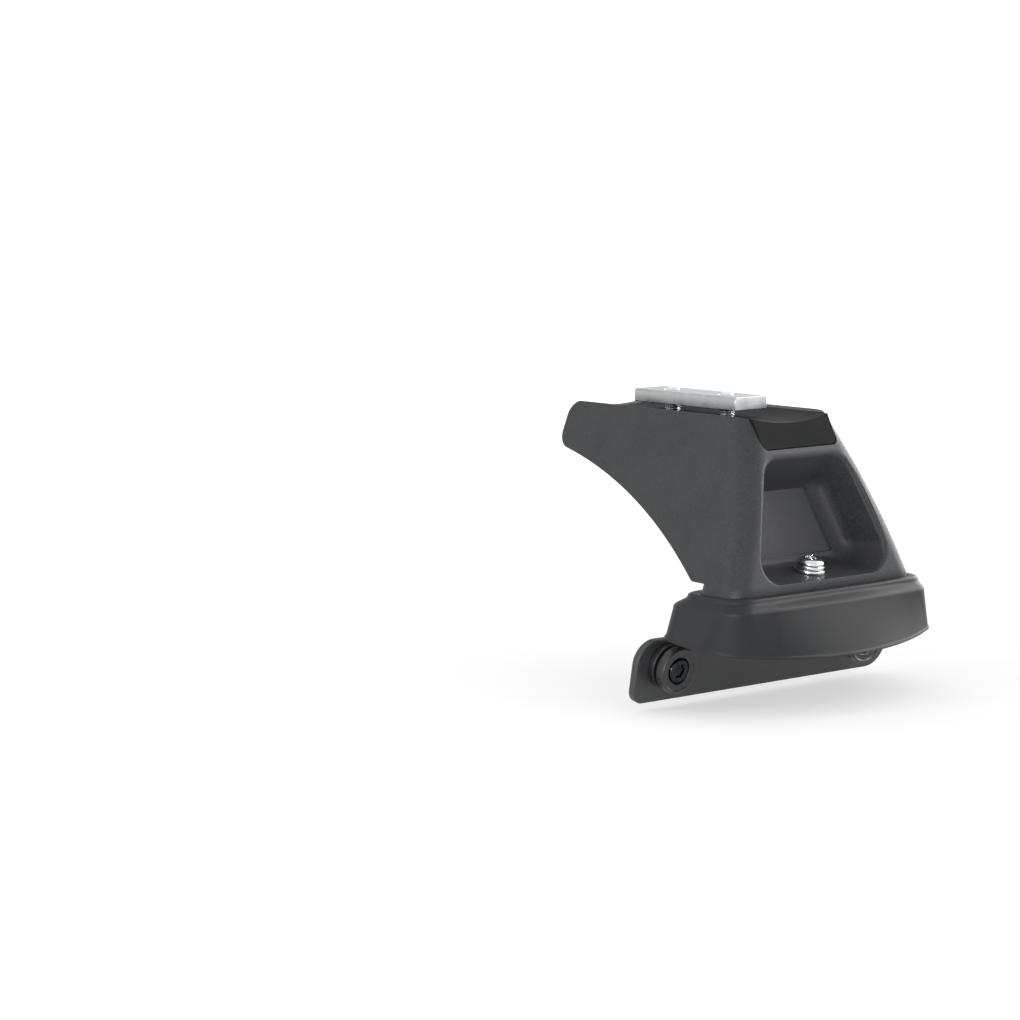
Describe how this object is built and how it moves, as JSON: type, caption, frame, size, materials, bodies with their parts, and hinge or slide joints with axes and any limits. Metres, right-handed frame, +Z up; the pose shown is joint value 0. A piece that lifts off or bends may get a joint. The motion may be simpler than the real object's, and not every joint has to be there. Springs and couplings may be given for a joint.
{
  "type": "roof bar foot",
  "caption": "Moulded foot for a roof bar: padded seat on a winged leg, rubber skirt and a steel bracket that bolts to the roof.",
  "frame": {"origin": "middle of the bar seat, on the line where the underside of the bar rests", "axes": "+X outboard along the bar, +Y to the rear of the vehicle, +Z up"},
  "size_m": [0.1324, 0.1347, 0.1109],
  "materials": {
    "leg_plastic": "fine moulded grain",
    "pad_rubber": "matt moulded",
    "boot_rubber": "smooth moulded",
    "coated_steel": "satin powder coat",
    "disc_nylon": "turned",
    "dark_zinc": "dark zinc plate",
    "screw_steel": "bright zinc plate",
    "nut_steel": "zinc plate"
  },
  "bodies": {
    "root": {"leg_housing": "leg_plastic", "saddle_pad": "pad_rubber", "channel_nut": "nut_steel", "inner_bar_screw": "screw_steel", "inner_bar_spring_washer": "screw_steel", "inner_bar_flat_washer": "screw_steel", "outer_bar_screw": "screw_steel", "outer_bar_spring_washer": "screw_steel", "outer_bar_flat_washer": "screw_steel", "base_screw": "screw_steel", "base_spring_washer": "screw_steel", "base_flat_washer": "screw_steel", "base_nut": "nut_steel", "base_boot": "boot_rubber", "base_bracket": "coated_steel", "front_spacer": "disc_nylon", "front_tooth_washer": "dark_zinc", "front_disc": "disc_nylon", "front_screw": "nut_steel", "rear_spacer": "disc_nylon", "rear_tooth_washer": "dark_zinc", "rear_disc": "disc_nylon", "rear_screw": "nut_steel"}
  },
  "joints": []
}
